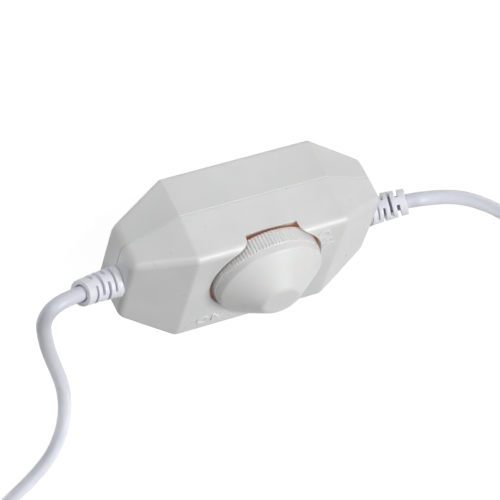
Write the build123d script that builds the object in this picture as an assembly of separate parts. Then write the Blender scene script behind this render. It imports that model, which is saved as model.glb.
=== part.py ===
from build123d import *
import math
import os

# In-line cord dimmer: a faceted two-part plastic housing with a rotary knob that sits off centre,
# so that its ribbed rim can be turned by the thumb through a notch in one side. A round lead
# leaves each end through a slotted strain relief. One lead ends in a flat two-pin plug, the other
# in two stripped conductors for the lamp.
# Millimetres. X runs along the leads, Z is the knob's axis, and the origin is at the middle of
# the back face, on which the dimmer lies.

# Housing outside
body_length = 95.4
middle_length = 56.0
back_width = 50.2
parting_width = 51.2
front_width = 48.4
end_width_back = 30.6
end_width_parting = 31.6
end_width_front = 30.8
thickness = 34.6
parting_height = 16.85
end_face_low = 8.0
end_face_high = 25.6
back_edge_radius = 2.0
front_edge_radius = 3.0
corner_radius = 5.0
parting_break = 0.25

# Housing inside
wall = 2.0
tongue_width = 0.9
tongue_height = 1.2
tongue_clearance = 0.1
tongue_break = 1.5

# Knob and its pocket
knob_shift = 0.4
knob_offset = 5.8
band_radius = 19.6
band_height = 5.7
shoulder_radius = 18.9
shoulder_height = 2.5
shoulder_round = 1.4
cone_height = 8.7
tip_radius = 7.0
tip_round = 3.2
knob_wall = 1.7
rib_count = 100
rib_depth = 0.3
rib_land = 0.35
rib_overcut = 0.5
pocket_clearance = 1.2
pocket_depth = 5.1
pocket_rim_radius = 0.2
pocket_floor_thickness = 2.0
knob_floor_gap = 1.5
hub_radius = 5.6
hub_rise = 3.0
web_count = 4
web_thickness = 1.4
web_rise = 4.4

# Potentiometer with switch
shaft_radius = 3.0
shaft_flat_depth = 0.8
shaft_running_clearance = 0.05
shaft_press_clearance = 0.03
shaft_tip_gap = 0.8
bush_radius = 3.5
bush_height = 5.3
bush_hole_clearance = 0.15
thread_clearance = 0.05
pot_radius = 8.2
pot_plate_thickness = 1.2
pot_can_wall = 0.6
pot_can_height = 7.6
track_thickness = 1.2
track_hole_radius = 2.4
rotor_thickness = 2.0
rotor_gap = 0.4
rotor_lift = 1.4
wiper_near = 3.5
wiper_far = 5.5
wiper_half_width = 1.5
wiper_gap = 0.2
collar_radius = 4.2
driver_radius = 1.5
nut_across_flats = 10.0
nut_thickness = 2.2
washer_radius = 5.8
washer_thickness = 0.5

# Circuit board and what stands on it
board_length = 38.6
board_width = 37.0
board_thickness = 1.6
board_corner = 2.0
standoff_radius = 2.5
standoff_inset_x = 2.3
standoff_inset_y = 2.3
pin_radius = 1.1
pin_clearance = 0.15
pin_height = 2.4
board_top = 11.8
lead_radius = 0.35
lead_tail = 1.2
lead_bend = 0.7
triac_place = (-13.8, -7.0)
triac_size = (10.0, 9.0, 4.4)
triac_tab_length = 6.3
triac_tab_thickness = 1.3
triac_tab_hole = 1.8
triac_tab_hole_inset = 2.9
triac_lead_pitch = 2.54
triac_lead_reach = 2.2
triac_lead_height = 1.7
capacitor_place = (2.0, -13.0)
capacitor_size = (16.0, 6.0, 10.5)
capacitor_lead_half = 6.5
timing_place = (14.6, -11.0)
timing_size = (3.0, 6.6, 6.5)
timing_lead_half = 2.0
diac_place = (13.8, 1.6)
diac_radius = 0.95
diac_length = 4.0
diac_span = 8.0
resistor_x = 13.8
resistor_rows = (-5.6, -2.0)
resistor_radius = 1.15
resistor_length = 6.3
resistor_span = 9.6
fuse_place = (0.0, 16.0)
fuse_radius = 1.8
fuse_length = 9.0
fuse_span = 13.0

# Cover screws
screw_x = 23.5
screw_y = 16.0
boss_radius = 3.6
screw_radius = 1.45
screw_hole_radius = 1.65
screw_pilot_radius = 1.2
screw_length = 16.0
screw_tip_gap = 1.5
screw_head_radius = 2.8
screw_head_height = 2.0
screw_head_clearance = 0.4
screw_seat_height = 9.0
screw_head_round = 0.8
screw_cross = (3.2, 0.8, 1.6)
screw_point = 0.8

# Leads and strain reliefs
cord_diameter = 5.2
cord_axis_height = 20.2
cord_inside = 10.0
relief_hole_radius = 5.0
relief_neck_clearance = 0.1
relief_bore_clearance = 0.05
relief_base_radius = 5.5
relief_end_radius = 4.6
relief_length = 14.8
relief_seat_gap = 0.1
relief_flange_radius = 6.6
relief_flange_thickness = 1.7
relief_flange_clearance = 0.2
relief_flange_break = 0.4
relief_mouth_radius = 3.1
relief_mouth_depth = 2.5
slot_count = 4
slot_width = 1.1
slot_pitch = 2.75
slot_first = 3.4
slot_arc = 144.0
right_slot_turn = 16.0
retainer_thickness = 1.0
retainer_gap = 0.2
retainer_width = 16.0
conductor_radius = 1.1
conductor_half_pitch = 1.3

# Conductors inside: from each lead's end past the screw column down to the board
live_way = [(6.5, 1.3, 20.2), (13.7, 9.4, 18.4), (21.7, 11.0, 18.0)]
neutral_way = [(7.5, -1.3, 20.2), (14.7, 5.4, 17.0), (21.7, 6.6, 16.4)]
live_bend = 2.2
neutral_bend = 2.0

# The lead to the plug: its chosen route over the table, then a coil
left_route = [
    (-74.0, 0.0, cord_axis_height),
    (-70.5, -30.0, 17.5),
    (-61.0, -58.0, 11.0),
    (-48.0, -95.0, 4.5),
    (-40.0, -128.0, 2.6),
    (-43.0, -160.0, 2.6),
    (-60.0, -186.0, 2.6),
    (-66.0, -204.0, 2.6),
]
left_coil_centre = (-98.0, -212.0)
left_coil_inner = 20.7
left_coil_outer = 36.3
left_coil_height = 10.4
plug_place = (-129.0, -150.0)

# The lead to the lamp: its chosen route, then a coil
right_route = [
    (74.0, 0.0, cord_axis_height),
    (94.0, -17.0, 16.0),
    (112.0, -38.0, 8.5),
    (133.0, -62.0, 2.6),
    (152.0, -82.0, 2.6),
]
right_coil_centre = (173.0, -60.0)
right_coil_inner = 23.3
right_coil_outer = 33.7
right_coil_height = 10.4

# Flat two-pin plug
plug_width = 35.0
plug_thickness = 13.4
plug_grip = 11.0
plug_taper = 20.0
plug_neck_width = 14.0
plug_neck_thickness = 10.0
plug_edge_radius = 1.2
plug_relief_length = 18.0
plug_relief_radius = 4.4
plug_relief_tip_radius = 3.5
plug_groove_count = 4
plug_groove_width = 1.0
plug_groove_depth = 0.7
plug_pin_radius = 2.0
plug_pin_length = 19.0
plug_pin_spacing = 18.6
plug_pin_round = 1.4
plug_pin_root = 6.0
plug_pin_root_radius = 2.6

# Stripped lamp end
lamp_end_x = 203.5
lamp_end_y = -14.0
lamp_end_drop = 22.0
lamp_lead_length = 28.0
lamp_lead_spread = 4.0
lamp_lead_start = (1.2, 1.9)
lamp_lead_middle = (1.6, 1.3)
sleeve_length = 8.0
sleeve_radius = 0.9
sleeve_grip = 2.0

# Worked out from the sizes above
half_length = body_length / 2
half_middle = middle_length / 2
pocket_floor = thickness - pocket_depth
pocket_radius = band_radius + pocket_clearance
tub_bottom = pocket_floor - pocket_floor_thickness
knob_bottom = pocket_floor + knob_floor_gap
band_top = knob_bottom + band_height
shoulder_top = band_top + shoulder_height
knob_top = shoulder_top + cone_height
cord_radius = cord_diameter / 2
pot_top = tub_bottom
can_top = pot_top - pot_plate_thickness
can_bottom = can_top - pot_can_height
board_bottom = board_top - board_thickness
bush_top = pot_top + bush_height
hub_bottom = knob_bottom + hub_rise
shaft_top = knob_top - knob_wall - shaft_tip_gap


def knob_place(z):
    """A point on the knob's axis."""
    return Pos(knob_shift, knob_offset, z)


def disc(radius, low, high):
    """An upright cylinder between two heights, centred on the origin."""
    return Pos(0, 0, (low + high) / 2) * Cylinder(radius, high - low)


def block(x_range, y_range, z_range):
    """A box between two corners."""
    size = [high - low for low, high in (x_range, y_range, z_range)]
    middle = [(high + low) / 2 for low, high in (x_range, y_range, z_range)]
    return Pos(*middle) * Box(*size)


def bar_along_x(radius, low, high, y=0.0, z=0.0):
    """A round bar along X."""
    return Pos((low + high) / 2, y, z) * Rot(0, 90, 0) * Cylinder(radius, high - low)


def tube(points, radius, radii=None):
    """A round bar along straight runs with arcs between them."""
    if radii is None:
        radii = bend_radii(points)
    path = FilletPolyline(*points, radius=radii) if len(points) > 2 else Line(*points)
    section = Plane(origin=points[0], z_dir=path % 0) * Circle(radius)
    return sweep(section, path=path)


def bend_radii(points):
    """The largest arcs that leave a tenth of each run straight."""
    radii = []
    for before, corner, after in zip(points, points[1:], points[2:]):
        run_in = Vector(*corner) - Vector(*before)
        run_out = Vector(*after) - Vector(*corner)
        turn = math.radians(run_in.get_angle(run_out))
        radii.append(0.45 * min(run_in.length, run_out.length) / math.tan(turn / 2))
    return radii


# Housing

def plan_face(width, end_width, inset=0.0):
    """The eight-sided outline seen from the front, moved in by an inset."""
    quarter = [(half_middle, width / 2), (half_length, end_width / 2)]
    points = quarter + [(x, -y) for x, y in reversed(quarter)]
    points += [(-x, -y) for x, y in points]
    face = make_face(Polyline(*points, close=True))
    return offset(face, amount=-inset, kind=Kind.INTERSECTION) if inset else face


def side_face(inset=0.0):
    """The eight-sided outline seen from the side, moved in by an inset."""
    points = [
        (-half_middle, 0),
        (half_middle, 0),
        (half_length, end_face_low),
        (half_length, end_face_high),
        (half_middle, thickness),
        (-half_middle, thickness),
        (-half_length, end_face_high),
        (-half_length, end_face_low),
    ]
    face = make_face(Polyline(*points, close=True))
    if inset:
        face = offset(face, amount=-inset, kind=Kind.INTERSECTION)
    return Plane.XZ * face


def faceted_half(front, inset=0.0):
    """The drafted block of one half, cut to the side outline."""
    parting = Pos(0, 0, parting_height) * plan_face(parting_width, end_width_parting, inset)
    if front:
        far = Pos(0, 0, thickness) * plan_face(front_width, end_width_front, inset)
        half = loft([parting, far], ruled=True)
    else:
        far = plan_face(back_width, end_width_back, inset)
        half = loft([far, parting], ruled=True)
    return half & extrude(side_face(inset), amount=parting_width, both=True)


def rounded_half(front):
    """One half with its corner posts and ridges rounded, and its parting edge left sharp."""
    half = faceted_half(front)
    posts = half.edges().filter_by(
        lambda e: abs(abs(e.center().X) - half_length) < 1 and e.bounding_box().size.Z > 5
    )
    half = fillet(posts, corner_radius)
    ridges = half.edges().filter_by(lambda e: not lies_on_parting(e) and not is_post(e))
    half = fillet(ridges, front_edge_radius if front else back_edge_radius)
    return chamfer(half.edges().filter_by(lies_on_parting), parting_break)


def lies_on_parting(edge):
    """True for an edge in the parting plane."""
    box = edge.bounding_box()
    return abs(box.min.Z - parting_height) < 0.01 and abs(box.max.Z - parting_height) < 0.01


def is_post(edge):
    """True for the tangent lines of the corner posts that are rounded already."""
    box = edge.bounding_box()
    return abs(edge.center().X) > half_middle + 1 and box.size.Z > 5 and box.size.X < corner_radius


def parting_ring(outer_inset, inner_inset, low, high):
    """A ring that follows the outline at the parting, left open where the leads pass."""
    outer = plan_face(parting_width, end_width_parting, outer_inset)
    inner = plan_face(parting_width, end_width_parting, inner_inset)
    ring = Pos(0, 0, low) * extrude(outer - inner, amount=high - low)
    gap = relief_hole_radius + tongue_break
    return ring - block((-half_length, half_length), (-gap, gap), (low - 1, high + 1))


def screw_places():
    """The two cover screws stand on a diagonal."""
    return [Pos(-screw_x, screw_y, 0), Pos(screw_x, -screw_y, 0)]


def lead_hole(radius):
    """The round hole through both end walls."""
    return bar_along_x(radius, -half_length - 1, half_length + 1, 0, cord_axis_height)


def retainer_ribs(low, high):
    """Cross ribs just inside each end that keep the strain reliefs from being pushed in."""
    inner = half_length - wall - relief_flange_thickness - 2 * retainer_gap
    ribs = block((inner - retainer_thickness, inner), (-retainer_width / 2, retainer_width / 2), (low, high))
    return ribs + mirror(ribs, about=Plane.YZ)


def standoff_places():
    """The four places where the board stands."""
    x = board_length / 2 - standoff_inset_x
    y = board_width / 2 - standoff_inset_y
    return [Pos(sx * x, sy * y, 0) for sx in (-1, 1) for sy in (-1, 1)]


def make_rear_cover():
    """The rear half: screw columns, board standoffs, tongue, and saddles under the reliefs."""
    outer = rounded_half(front=False)
    cover = outer - (faceted_half(False, wall) & disc(body_length, wall, thickness))
    for place in screw_places():
        cover += place * disc(boss_radius, wall / 2, parting_height)
    for place in standoff_places():
        cover += place * disc(standoff_radius, wall / 2, board_bottom)
        cover += place * disc(pin_radius, wall, board_bottom + pin_height)
    cover += retainer_ribs(wall, parting_height) & outer
    cover += parting_ring(wall - tongue_width, wall, parting_height, parting_height + tongue_height)
    saddle_half = relief_hole_radius - tongue_clearance
    saddle = block(
        (half_length - wall, half_length), (-saddle_half, saddle_half), (parting_height - 1, cord_axis_height)
    )
    cover += saddle + mirror(saddle, about=Plane.YZ)
    cover -= lead_hole(relief_hole_radius)
    for place in screw_places():
        cover -= place * disc(screw_head_radius + screw_head_clearance, -1, screw_seat_height)
        cover -= place * disc(screw_hole_radius, 0, parting_height + 1)
    return cover


def make_front_cover():
    """The front half: the knob's pocket with its thumb notch, screw columns and relief slots."""
    outer = rounded_half(front=True)
    cover = outer - (faceted_half(True, wall) & disc(body_length, 0, thickness - wall))
    groove_inset = wall - tongue_width - tongue_clearance
    groove_top = parting_height + tongue_height + tongue_clearance
    cover -= parting_ring(groove_inset, wall, parting_height, groove_top)
    tub = knob_place(0) * disc(pocket_radius + wall, tub_bottom, thickness)
    columns = [place * disc(boss_radius, parting_height, thickness) for place in screw_places()]
    cover += (tub & outer)
    for column in columns:
        cover += column & outer
    cover += retainer_ribs(parting_height, thickness) & outer
    cover -= knob_place(0) * disc(pocket_radius, pocket_floor, thickness + 1)
    cover = fillet(cover.edges().filter_by(is_pocket_rim), pocket_rim_radius)
    cover -= knob_place(0) * disc(bush_radius + bush_hole_clearance, tub_bottom - 1, thickness)
    across = (-relief_hole_radius, relief_hole_radius)
    slot = block((-half_length - 1, half_length + 1), across, (parting_height - 1, cord_axis_height))
    cover -= lead_hole(relief_hole_radius) + slot
    tip = screw_seat_height + screw_length + screw_tip_gap
    for place in screw_places():
        cover -= place * disc(screw_pilot_radius, parting_height - 1, tip)
    return cover


def is_pocket_rim(edge):
    """True for an edge along which the pocket's wall or floor meets the outside."""
    points = [edge @ share for share in (0.0, 0.3, 0.5, 0.7, 1.0)]
    reach = [math.hypot(point.X - knob_shift, point.Y - knob_offset) for point in points]
    on_wall = all(abs(distance - pocket_radius) < 0.01 for distance in reach)
    on_floor = all(abs(point.Z - pocket_floor) < 0.01 for point in points)
    if on_floor:
        return not on_wall and points[2].Y > front_width / 2 - 1
    return on_wall and max(point.Z for point in points) > pocket_floor + 0.5


def make_cover_screw():
    """A pan head self-tapping screw, its head down."""
    head = disc(screw_head_radius, screw_seat_height - screw_head_height, screw_seat_height)
    head = fillet(head.edges().group_by(Axis.Z)[0], screw_head_round)
    cross = Box(*screw_cross)
    cross += Rot(0, 0, 90) * cross
    head -= Pos(0, 0, screw_seat_height - screw_head_height) * cross
    shank = disc(screw_pilot_radius, screw_seat_height, screw_seat_height + screw_length)
    return head + chamfer(shank.edges().group_by(Axis.Z)[-1], screw_point)


# Knob

def make_knob():
    """A hollow knob: ribbed band, cone, domed tip, hub with a flat-sided bore, and webs."""
    outline = [
        (0, knob_bottom),
        (band_radius, knob_bottom),
        (band_radius, band_top - rib_depth),
        (band_radius - rib_depth, band_top),
        (shoulder_radius, shoulder_top),
        (tip_radius, knob_top),
        (0, knob_top),
    ]
    solid = revolve(Plane.XZ * make_face(Polyline(*outline, close=True)), Axis.Z)
    solid = fillet(solid.edges().group_by(Axis.Z)[-1], tip_round)
    shoulder = solid.edges().filter_by(lambda e: abs(e.center().Z - shoulder_top) < 0.01)
    solid = fillet(shoulder, shoulder_round)
    inside = [
        (0, knob_bottom - 1),
        (band_radius - knob_wall - rib_depth, knob_bottom - 1),
        (band_radius - knob_wall - rib_depth, band_top),
        (shoulder_radius - 2 * knob_wall, shoulder_top - knob_wall / 2),
        (tip_radius - knob_wall, knob_top - knob_wall),
        (0, knob_top - knob_wall),
    ]
    hollow = revolve(Plane.XZ * make_face(Polyline(*inside, close=True)), Axis.Z)
    inner_parts = disc(hub_radius, hub_bottom, knob_top - knob_wall / 2)
    for index in range(web_count):
        reach = band_radius - knob_wall
        web = block((0, reach), (-web_thickness / 2, web_thickness / 2), (knob_bottom + web_rise, knob_top))
        inner_parts += Rot(0, 0, 45 + index * 360 / web_count) * web
    knob = (solid - hollow) + (inner_parts & solid)
    knob -= shaft_section(shaft_radius + shaft_press_clearance, hub_bottom - 1, shaft_top + shaft_tip_gap / 2)
    return knob_place(0) * (knob - rib_grooves())


def rib_grooves():
    """The grooves between the ribs of the band."""
    pitch = 2 * math.pi * band_radius / rib_count
    half_gap = (pitch - rib_land) / 2 * (rib_depth + rib_overcut) / rib_depth
    reach = band_radius + rib_overcut
    points = [(band_radius - rib_depth, 0), (reach, -half_gap), (reach, half_gap)]
    section = make_face(Polyline(*points, close=True))
    groove = extrude(Pos(0, 0, knob_bottom - rib_overcut) * section, amount=band_height + 2 * rib_overcut)
    return [Rot(0, 0, index * 360 / rib_count) * groove for index in range(rib_count)]


def shaft_section(radius, low, high):
    """A round bar with one flat."""
    flat = shaft_radius - shaft_flat_depth + (radius - shaft_radius)
    return disc(radius, low, high) - block((flat, 2 * radius), (-radius, radius), (low - 1, high + 1))


# Potentiometer with switch

def make_pot_shaft():
    """The turning core: rotor disc with its collar, driver for the switch, and the shaft."""
    rotor_low = can_bottom + track_thickness + rotor_lift
    rotor_radius = pot_radius - pot_can_wall - rotor_gap
    core = disc(rotor_radius, rotor_low, rotor_low + rotor_thickness)
    core += disc(collar_radius, rotor_low, can_top - rotor_gap)
    core += disc(driver_radius, can_bottom + rotor_gap, rotor_low)
    core += disc(shaft_radius, rotor_low, hub_bottom)
    core += shaft_section(shaft_radius, hub_bottom, shaft_top)
    wiper_bottom = rotor_low - rotor_lift + wiper_gap
    wiper = block((-wiper_far, -wiper_near), (-wiper_half_width, wiper_half_width), (wiper_bottom, rotor_low))
    return knob_place(0) * (core + wiper)


def make_pot_bushing():
    """The mounting plate and the threaded bush in one casting."""
    plate = disc(pot_radius, can_top, pot_top)
    bush = disc(bush_radius, pot_top, bush_top)
    bush = chamfer(bush.edges().group_by(Axis.Z)[-1], 0.3)
    hole = disc(shaft_radius + shaft_running_clearance, can_top - 1, bush_top + 1)
    return knob_place(0) * (plate + bush - hole)


def make_pot_can():
    """The round can that holds track and rotor."""
    inside = disc(pot_radius - pot_can_wall, 0, thickness)
    return knob_place(0) * (disc(pot_radius, can_bottom, can_top) - inside)


def make_pot_track():
    """The track wafer at the can's foot."""
    wafer = disc(pot_radius - pot_can_wall, can_bottom, can_bottom + track_thickness)
    return knob_place(0) * (wafer - disc(track_hole_radius, 0, thickness))


def make_switch_block():
    """The mains switch under the potentiometer, standing on the board."""
    body = disc(pot_radius, board_top, can_bottom)
    return knob_place(0) * chamfer(body.edges().group_by(Axis.Z)[0], 0.5)


def make_pot_washer():
    """The washer under the nut, on the pocket's floor."""
    ring = disc(washer_radius, pocket_floor, pocket_floor + washer_thickness)
    return knob_place(0) * (ring - disc(bush_radius + bush_hole_clearance, 0, thickness))


def make_pot_nut():
    """The hexagon nut that clamps the potentiometer to the front cover."""
    low = pocket_floor + washer_thickness
    hexagon = RegularPolygon(nut_across_flats / 2, 6, major_radius=False)
    nut = Pos(0, 0, low) * extrude(hexagon, amount=nut_thickness)
    return knob_place(0) * (nut - disc(bush_radius + thread_clearance, 0, thickness))


# Circuit board and its components

def make_circuit_board():
    """The board, with holes for the locating pins."""
    outline = chamfer(Rectangle(board_length, board_width).vertices(), board_corner)
    board = Pos(0, 0, board_bottom) * extrude(outline, amount=board_thickness)
    for place in standoff_places():
        board -= place * disc(pin_radius + pin_clearance, 0, thickness)
    return board


def lead_pins(places):
    """Straight component leads that stand on the board, a little way into the air above it."""
    return [Pos(x, y, 0) * disc(lead_radius, board_top, board_top + lead_tail) for x, y in places]


def box_component(centre, size, lead_places, edge=0.5):
    """A rectangular component held a little above the board on its leads."""
    x, y = centre
    low = board_top + lead_tail - 0.4
    body = Pos(x, y, low + size[2] / 2) * Box(*size)
    body = fillet(body.edges(), edge)
    for lead in lead_pins(lead_places):
        body += lead
    return body


def axial_component(centre, radius, length, span):
    """A small round component along X with its leads bent down to the board."""
    x, y = centre
    axis_height = board_top + radius + 0.3
    body = bar_along_x(radius, x - length / 2, x + length / 2, y, axis_height)
    body = fillet(body.edges(), radius * 0.4)
    left = (x - span / 2, y, board_top)
    right = (x + span / 2, y, board_top)
    points = [left, (left[0], y, axis_height), (right[0], y, axis_height), right]
    return body + tube(points, lead_radius, lead_bend)


def make_triac():
    """The power switch, lying on its back, with its tab and three bent leads."""
    x, y = triac_place
    width, length, height = triac_size
    across = (x - width / 2, x + width / 2)
    near_end = y - length / 2
    tab_end = y + length / 2 + triac_tab_length
    body = block(across, (near_end, y + length / 2), (board_top, board_top + height))
    body = chamfer(body.edges().group_by(Axis.Z)[-1], 0.6)
    tab = block(across, (y, tab_end), (board_top, board_top + triac_tab_thickness))
    tab -= Pos(x, tab_end - triac_tab_hole_inset, 0) * disc(triac_tab_hole, 0, thickness)
    part = body + tab
    lead_y = near_end - triac_lead_reach
    lead_z = board_top + triac_lead_height
    for step in (-triac_lead_pitch, 0.0, triac_lead_pitch):
        points = [(x + step, near_end + 1, lead_z), (x + step, lead_y, lead_z), (x + step, lead_y, board_top)]
        part += tube(points, lead_radius, lead_bend)
    return part


def make_resistors():
    """Two equal resistors side by side."""
    size = (resistor_radius, resistor_length, resistor_span)
    return [axial_component((resistor_x, y), *size) for y in resistor_rows]


def make_components():
    """The other components, by node name."""
    x, y = capacitor_place
    main_leads = [(x - capacitor_lead_half, y), (x + capacitor_lead_half, y)]
    x, y = timing_place
    timing_leads = [(x, y - timing_lead_half), (x, y + timing_lead_half)]
    return {
        "main_capacitor": box_component(capacitor_place, capacitor_size, main_leads),
        "timing_capacitor": box_component(timing_place, timing_size, timing_leads),
        "diac": axial_component(diac_place, diac_radius, diac_length, diac_span),
        "resistors": make_resistors(),
        "fuse": axial_component(fuse_place, fuse_radius, fuse_length, fuse_span),
    }


def make_wires():
    """The two conductors between the left lead's end and the board, as routed inside."""
    start_x = -(half_length - cord_inside)
    wires = []
    for side, way, bend in ((1, live_way, live_bend), (-1, neutral_way, neutral_bend)):
        start = (start_x, side * conductor_half_pitch, cord_axis_height)
        points = [start] + [(start_x + x, y, z) for x, y, z in way]
        points.append((points[-1][0], points[-1][1], board_top))
        wires.append(tube(points, conductor_radius, bend))
    return wires


# Strain reliefs

def roof_height(x):
    """The height of the sloping roof inside the front cover, this far from the middle."""
    slope = (thickness - end_face_high) / (half_length - half_middle)
    return end_face_high + (half_length - x) * slope - wall * math.hypot(1, slope)


def make_strain_relief(slot_turn):
    """A relief at the left end: flange inside the wall, neck in the hole, slotted sleeve outside."""
    inner_face = half_length - wall
    start = inner_face - relief_seat_gap - relief_flange_thickness
    end = half_length + relief_seat_gap + relief_length
    neck = relief_hole_radius - relief_neck_clearance
    outline = [
        (-start, 0),
        (-start, relief_flange_radius),
        (-(start + relief_flange_thickness), relief_flange_radius),
        (-(start + relief_flange_thickness), neck),
        (-(half_length + relief_seat_gap), neck),
        (-(half_length + relief_seat_gap), relief_base_radius),
        (-end, relief_end_radius),
        (-end, 0),
    ]
    relief = revolve(Plane.XZ * make_face(Polyline(*outline, close=True)), Axis.X)
    relief = fillet(relief.edges().sort_by(Axis.X)[0], relief_flange_break)
    flange_top = roof_height(inner_face) - relief_flange_clearance - cord_axis_height
    flange_end = start + relief_flange_thickness
    across = (-relief_flange_radius, relief_flange_radius)
    relief -= block((-flange_end, -start), across, (flange_top, thickness))
    for index in range(slot_count):
        near = half_length + slot_first + index * slot_pitch - slot_width / 2
        turn = 0 if index % 2 == 0 else 90
        relief -= slot_pair(near, turn + slot_turn)
    relief -= bar_along_x(cord_radius + relief_bore_clearance, -end - 1, -start + 1)
    relief -= bar_along_x(relief_mouth_radius, -end - 1, -end + relief_mouth_depth)
    return Pos(0, 0, cord_axis_height) * relief


def slot_pair(near, turn):
    """Two opposite slots part of the way round the sleeve, right through to the lead."""
    reach = relief_base_radius + 1
    ring = Plane.XZ * Pos(-(near + slot_width / 2), (cord_radius + reach) / 2)
    section = ring * Rectangle(slot_width, reach - cord_radius)
    pair = []
    for side in (0, 180):
        slot = revolve(section, Axis.X, revolution_arc=slot_arc)
        pair.append(Rot(90 - slot_arc / 2 + turn + side, 0, 0) * slot)
    return pair


# Leads, coils, plug and lamp end

def make_cords():
    """The loose stretches, the coils, and the short ends behind the coils, by node name."""
    inner_x = half_length - cord_inside
    left_coil = coil(left_coil_centre, left_coil_inner, left_coil_outer, left_coil_height)
    right_coil = coil(right_coil_centre, right_coil_inner, right_coil_outer, right_coil_height)
    left = tube([(-inner_x, 0.0, cord_axis_height)] + left_route, cord_radius)
    right = tube([(inner_x, 0.0, cord_axis_height)] + right_route, cord_radius)
    plug_axis = plug_thickness / 2
    left_end_start = (plug_place[0], left_coil_centre[1] + 8.0, left_coil_height - cord_radius)
    left_end_low = (plug_place[0], left_coil_centre[1] + 26.0, 5.0)
    left_end_stop = (plug_place[0], plug_place[1] - plug_relief_length, plug_axis)
    left_end = tube([left_end_start, left_end_low, left_end_stop], cord_radius)
    right_end_start = (lamp_end_x, right_coil_centre[1], right_coil_height - cord_radius)
    right_end_low = (lamp_end_x, right_coil_centre[1] + lamp_end_drop, cord_radius)
    right_end = tube([right_end_start, right_end_low, (lamp_end_x, lamp_end_y, cord_radius)], cord_radius)
    return {
        "coil_left": left_coil,
        "coil_right": right_coil,
        "cord_left": left - left_coil,
        "cord_right": right - right_coil,
        "cord_left_end": left_end - left_coil,
        "cord_right_end": right_end - right_coil,
    }


def coil(centre, inner, outer, height):
    """The closed outer shape of a wound coil, lying on the table."""
    ring = disc(outer, 0, height) - disc(inner, -1, height + 1)
    return Pos(*centre, 0) * fillet(ring.edges(), min(cord_radius, height / 2) * 0.8)


def plug_frame():
    """The plug lies flat with its pins toward +Y; its own Z runs from the lead to the pins."""
    return Pos(*plug_place, plug_thickness / 2) * Rot(-90, 0, 0)


def contact_pins(face):
    """The two contact pins, each with a thicker root that the moulding holds."""
    pin = disc(plug_pin_radius, face - plug_pin_root, face + plug_pin_length)
    pin = fillet(pin.edges().group_by(Axis.Z)[-1], plug_pin_round)
    pin += disc(plug_pin_root_radius, face - plug_pin_root, face)
    return [Pos(side * plug_pin_spacing / 2, 0, 0) * pin for side in (-1, 1)]


def make_plug():
    """A moulded flat two-pin plug with its grooved strain relief, and its pins."""
    face = plug_taper + plug_grip
    neck = RectangleRounded(plug_neck_width, plug_neck_thickness, plug_neck_thickness * 0.45)
    middle_size = ((plug_neck_width + plug_width) / 2 - 1, plug_thickness * 0.95)
    middle = RectangleRounded(*middle_size, plug_thickness * 0.42)
    shoulder = RectangleRounded(plug_width, plug_thickness, plug_thickness * 0.45)
    body = loft([neck, Pos(0, 0, plug_taper / 2) * middle, Pos(0, 0, plug_taper) * shoulder])
    grip = Pos(0, 0, plug_taper) * extrude(shoulder, amount=plug_grip)
    body += fillet(grip.edges().group_by(Axis.Z)[-1], plug_edge_radius)
    start = -plug_relief_length
    outline = [(0, start), (plug_relief_tip_radius, start), (plug_relief_radius, 1), (0, 1)]
    relief = revolve(Plane.XZ * make_face(Polyline(*outline, close=True)), Axis.Z)
    pitch = plug_relief_length / (plug_groove_count + 1)
    for index in range(plug_groove_count):
        low = start + pitch * (index + 0.8)
        high = low + plug_groove_width
        floor = plug_relief_tip_radius - plug_groove_depth + 0.1 * (index + 1)
        relief -= disc(plug_relief_radius + 1, low, high) - disc(floor, low, high)
    body += relief
    pins = contact_pins(face)
    frame = plug_frame()
    return {"plug_body": frame * (body - pins), "plug_pins": [frame * pin for pin in pins]}


def make_lamp_end():
    """The two stripped conductors behind the lamp lead's sheath, with crimped end sleeves."""
    x = lamp_end_x
    y = lamp_end_y
    conductors = []
    sleeves = []
    for side in (-1, 1):
        points = [
            (x + side * lamp_lead_start[0], y, lamp_lead_start[1]),
            (x + side * lamp_lead_middle[0], y + lamp_lead_length / 3, lamp_lead_middle[1]),
            (x + side * lamp_lead_spread, y + lamp_lead_length, conductor_radius),
        ]
        conductors.append(tube(points, conductor_radius))
        along = (Vector(*points[2]) - Vector(*points[1])).normalized()
        tip = Plane(origin=points[2], z_dir=along)
        sleeve = tip * Pos(0, 0, sleeve_length / 2) * Cylinder(sleeve_radius, sleeve_length)
        sleeves.append(sleeve)
    return {"lamp_conductors": conductors, "lamp_end_sleeves": sleeves}


# The whole dimmer

def make_parts():
    """Every node of the dimmer, by name."""
    screw = make_cover_screw()
    wires = make_wires()
    parts = {
        "rear_cover": make_rear_cover(),
        "front_cover": make_front_cover(),
        "cover_screws": [place * screw for place in screw_places()],
        "knob": make_knob(),
        "pot_shaft": make_pot_shaft(),
        "pot_bushing": make_pot_bushing(),
        "pot_can": make_pot_can(),
        "pot_track": make_pot_track(),
        "switch_block": make_switch_block(),
        "pot_washer": make_pot_washer(),
        "pot_nut": make_pot_nut(),
        "circuit_board": make_circuit_board(),
        "triac": make_triac(),
        "wires_left": wires,
        "wires_right": [mirror(wire, about=Plane.YZ) for wire in wires],
        "strain_relief_left": make_strain_relief(0),
        "strain_relief_right": mirror(make_strain_relief(right_slot_turn), about=Plane.YZ),
    }
    parts.update(make_components())
    parts.update(make_cords())
    parts.update(make_plug())
    parts.update(make_lamp_end())
    parts["cord_left_end"] -= parts["plug_body"]
    parts["lamp_conductors"] = [item - parts["cord_right_end"] for item in parts["lamp_conductors"]]
    return parts


def single_shape(shape):
    """One shape to export: a lone solid as it is, several as a compound."""
    if isinstance(shape, list):
        return Compound(children=[solid for item in shape for solid in item.solids()])
    solids = shape.solids()
    return solids[0] if len(solids) == 1 else Compound(children=list(solids))


os.makedirs("parts", exist_ok=True)
for name, shape in make_parts().items():
    export_step(single_shape(shape), f"parts/{name}.step")
    print(name)
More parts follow.
